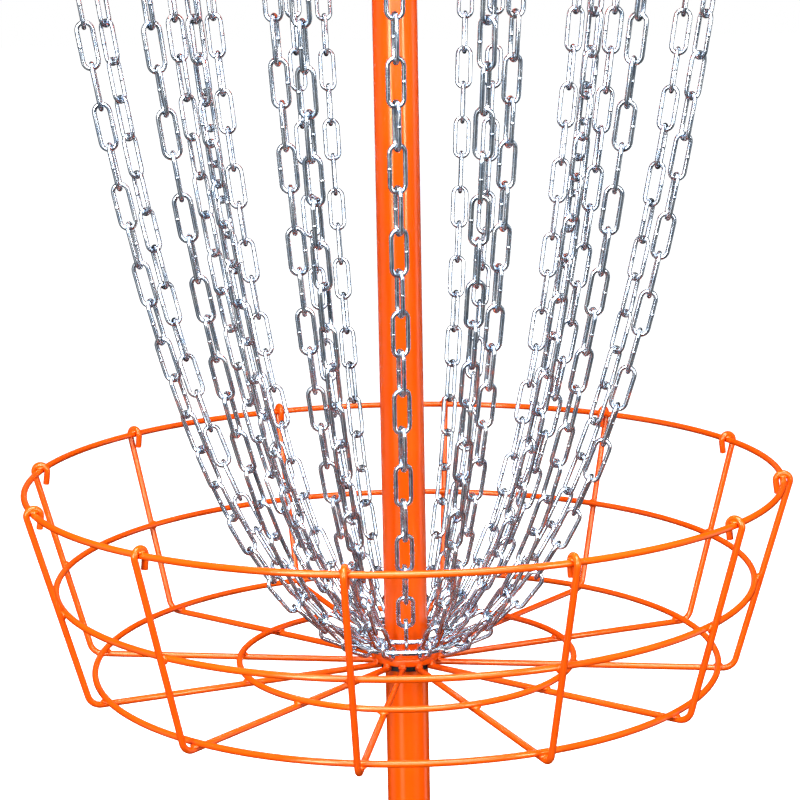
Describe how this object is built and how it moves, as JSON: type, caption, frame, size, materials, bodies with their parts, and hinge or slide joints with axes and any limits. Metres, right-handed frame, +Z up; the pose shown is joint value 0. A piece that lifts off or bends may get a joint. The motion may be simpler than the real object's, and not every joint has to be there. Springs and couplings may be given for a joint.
{
  "type": "disc golf basket",
  "caption": "Disc golf basket: post on a round bar base, welded wire tray, and rows of chains hanging from a banded support to two rings around the post.",
  "frame": {"origin": "centre of the base on the ground, on the post's axis", "axes": "+Z up along the post; +X along the first inner chain"},
  "size_m": [0.6656, 0.6656, 1.4348],
  "materials": {
    "powder_coat": "gloss",
    "zinc_chain": "bright zinc plate",
    "rivet": "satin",
    "black_plastic": "matt",
    "foot_rubber": "matt"
  },
  "bodies": {
    "base": {"base_ring": "powder_coat", "base_spokes": "powder_coat", "base_socket": "powder_coat", "base_feet": "foot_rubber"},
    "lower_post": {"lower_pole": "powder_coat"},
    "tray": {"pole_coupler": "black_plastic", "tray_hub": "powder_coat", "tray_ribs": "powder_coat", "tray_rim_ring": "powder_coat", "tray_middle_ring": "powder_coat", "tray_floor_ring": "powder_coat", "tray_inner_ring": "powder_coat"},
    "upper_post": {"upper_pole": "powder_coat"},
    "chain_support": {"support_hub": "powder_coat", "hub_cap": "black_plastic", "support_ribs": "powder_coat", "support_outer_ring": "powder_coat", "support_inner_ring": "powder_coat", "support_top_ring": "powder_coat", "support_band": "powder_coat", "band_rivets": "rivet", "outer_hooks": "powder_coat", "inner_hooks": "powder_coat", "outer_chain_ring": "zinc_chain", "inner_chain_ring": "zinc_chain"},
    "outer_chain_01": {"outer_chain_01": "zinc_chain"},
    "outer_chain_02": {"outer_chain_02": "zinc_chain"},
    "outer_chain_03": {"outer_chain_03": "zinc_chain"},
    "outer_chain_04": {"outer_chain_04": "zinc_chain"},
    "outer_chain_05": {"outer_chain_05": "zinc_chain"},
    "outer_chain_06": {"outer_chain_06": "zinc_chain"},
    "outer_chain_07": {"outer_chain_07": "zinc_chain"},
    "outer_chain_08": {"outer_chain_08": "zinc_chain"},
    "outer_chain_09": {"outer_chain_09": "zinc_chain"},
    "outer_chain_10": {"outer_chain_10": "zinc_chain"},
    "outer_chain_11": {"outer_chain_11": "zinc_chain"},
    "outer_chain_12": {"outer_chain_12": "zinc_chain"},
    "inner_chain_01": {"inner_chain_01": "zinc_chain"},
    "inner_chain_02": {"inner_chain_02": "zinc_chain"},
    "inner_chain_03": {"inner_chain_03": "zinc_chain"},
    "inner_chain_04": {"inner_chain_04": "zinc_chain"},
    "inner_chain_05": {"inner_chain_05": "zinc_chain"},
    "inner_chain_06": {"inner_chain_06": "zinc_chain"},
    "inner_chain_07": {"inner_chain_07": "zinc_chain"},
    "inner_chain_08": {"inner_chain_08": "zinc_chain"},
    "inner_chain_09": {"inner_chain_09": "zinc_chain"},
    "inner_chain_10": {"inner_chain_10": "zinc_chain"},
    "inner_chain_11": {"inner_chain_11": "zinc_chain"},
    "inner_chain_12": {"inner_chain_12": "zinc_chain"}
  },
  "joints": [
    {"name": "lower_pole_slide", "type": "slide", "parent": "base", "child": "lower_post", "axis": [0, 0, 1], "range_m": [0, 0.12]},
    {"name": "tray_slide", "type": "slide", "parent": "lower_post", "child": "tray", "axis": [0, 0, 1], "range_m": [0, 0.1]},
    {"name": "upper_pole_slide", "type": "slide", "parent": "tray", "child": "upper_post", "axis": [0, 0, 1], "range_m": [0, 0.1]},
    {"name": "support_slide", "type": "slide", "parent": "upper_post", "child": "chain_support", "axis": [0, 0, 1], "range_m": [0, 0.05]},
    {"name": "outer_chain_01_sway", "type": "hinge", "parent": "chain_support", "child": "outer_chain_01", "pos_m": [0.0459, 0.0123, 0.67273], "axis": [0.3161, 0.0847, 0.9449], "range_deg": [-18, 18]},
    {"name": "outer_chain_02_sway", "type": "hinge", "parent": "chain_support", "child": "outer_chain_02", "pos_m": [0.0336, 0.0336, 0.67273], "axis": [0.2314, 0.2314, 0.9449], "range_deg": [-18, 18]},
    {"name": "outer_chain_03_sway", "type": "hinge", "parent": "chain_support", "child": "outer_chain_03", "pos_m": [0.0123, 0.0459, 0.67273], "axis": [0.0847, 0.3161, 0.9449], "range_deg": [-18, 18]},
    {"name": "outer_chain_04_sway", "type": "hinge", "parent": "chain_support", "child": "outer_chain_04", "pos_m": [-0.0123, 0.0459, 0.67273], "axis": [-0.0847, 0.3161, 0.9449], "range_deg": [-18, 18]},
    {"name": "outer_chain_05_sway", "type": "hinge", "parent": "chain_support", "child": "outer_chain_05", "pos_m": [-0.0336, 0.0336, 0.67273], "axis": [-0.2314, 0.2314, 0.9449], "range_deg": [-18, 18]},
    {"name": "outer_chain_06_sway", "type": "hinge", "parent": "chain_support", "child": "outer_chain_06", "pos_m": [-0.0459, 0.0123, 0.67273], "axis": [-0.3161, 0.0847, 0.9449], "range_deg": [-18, 18]},
    {"name": "outer_chain_07_sway", "type": "hinge", "parent": "chain_support", "child": "outer_chain_07", "pos_m": [-0.0459, -0.0123, 0.67273], "axis": [-0.3161, -0.0847, 0.9449], "range_deg": [-18, 18]},
    {"name": "outer_chain_08_sway", "type": "hinge", "parent": "chain_support", "child": "outer_chain_08", "pos_m": [-0.0336, -0.0336, 0.67273], "axis": [-0.2314, -0.2314, 0.9449], "range_deg": [-18, 18]},
    {"name": "outer_chain_09_sway", "type": "hinge", "parent": "chain_support", "child": "outer_chain_09", "pos_m": [-0.0123, -0.0459, 0.67273], "axis": [-0.0847, -0.3161, 0.9449], "range_deg": [-18, 18]},
    {"name": "outer_chain_10_sway", "type": "hinge", "parent": "chain_support", "child": "outer_chain_10", "pos_m": [0.0123, -0.0459, 0.67273], "axis": [0.0847, -0.3161, 0.9449], "range_deg": [-18, 18]},
    {"name": "outer_chain_11_sway", "type": "hinge", "parent": "chain_support", "child": "outer_chain_11", "pos_m": [0.0336, -0.0336, 0.67273], "axis": [0.2314, -0.2314, 0.9449], "range_deg": [-18, 18]},
    {"name": "outer_chain_12_sway", "type": "hinge", "parent": "chain_support", "child": "outer_chain_12", "pos_m": [0.0459, -0.0123, 0.67273], "axis": [0.3161, -0.0847, 0.9449], "range_deg": [-18, 18]},
    {"name": "inner_chain_01_sway", "type": "hinge", "parent": "chain_support", "child": "inner_chain_01", "pos_m": [0.03773, 0, 0.67942], "axis": [0.2337, 0, 0.9723], "range_deg": [-18, 18]},
    {"name": "inner_chain_02_sway", "type": "hinge", "parent": "chain_support", "child": "inner_chain_02", "pos_m": [0.03267, 0.01886, 0.67942], "axis": [0.2024, 0.1168, 0.9723], "range_deg": [-18, 18]},
    {"name": "inner_chain_03_sway", "type": "hinge", "parent": "chain_support", "child": "inner_chain_03", "pos_m": [0.01886, 0.03267, 0.67942], "axis": [0.1168, 0.2024, 0.9723], "range_deg": [-18, 18]},
    {"name": "inner_chain_04_sway", "type": "hinge", "parent": "chain_support", "child": "inner_chain_04", "pos_m": [0, 0.03773, 0.67942], "axis": [0, 0.2337, 0.9723], "range_deg": [-18, 18]},
    {"name": "inner_chain_05_sway", "type": "hinge", "parent": "chain_support", "child": "inner_chain_05", "pos_m": [-0.01886, 0.03267, 0.67942], "axis": [-0.1168, 0.2024, 0.9723], "range_deg": [-18, 18]},
    {"name": "inner_chain_06_sway", "type": "hinge", "parent": "chain_support", "child": "inner_chain_06", "pos_m": [-0.03267, 0.01886, 0.67942], "axis": [-0.2024, 0.1168, 0.9723], "range_deg": [-18, 18]},
    {"name": "inner_chain_07_sway", "type": "hinge", "parent": "chain_support", "child": "inner_chain_07", "pos_m": [-0.03773, 0, 0.67942], "axis": [-0.2337, 0, 0.9723], "range_deg": [-18, 18]},
    {"name": "inner_chain_08_sway", "type": "hinge", "parent": "chain_support", "child": "inner_chain_08", "pos_m": [-0.03267, -0.01886, 0.67942], "axis": [-0.2024, -0.1168, 0.9723], "range_deg": [-18, 18]},
    {"name": "inner_chain_09_sway", "type": "hinge", "parent": "chain_support", "child": "inner_chain_09", "pos_m": [-0.01886, -0.03267, 0.67942], "axis": [-0.1168, -0.2024, 0.9723], "range_deg": [-18, 18]},
    {"name": "inner_chain_10_sway", "type": "hinge", "parent": "chain_support", "child": "inner_chain_10", "pos_m": [0, -0.03773, 0.67942], "axis": [0, -0.2337, 0.9723], "range_deg": [-18, 18]},
    {"name": "inner_chain_11_sway", "type": "hinge", "parent": "chain_support", "child": "inner_chain_11", "pos_m": [0.01886, -0.03267, 0.67942], "axis": [0.1168, -0.2024, 0.9723], "range_deg": [-18, 18]},
    {"name": "inner_chain_12_sway", "type": "hinge", "parent": "chain_support", "child": "inner_chain_12", "pos_m": [0.03267, -0.01886, 0.67942], "axis": [0.2024, -0.1168, 0.9723], "range_deg": [-18, 18]}
  ]
}
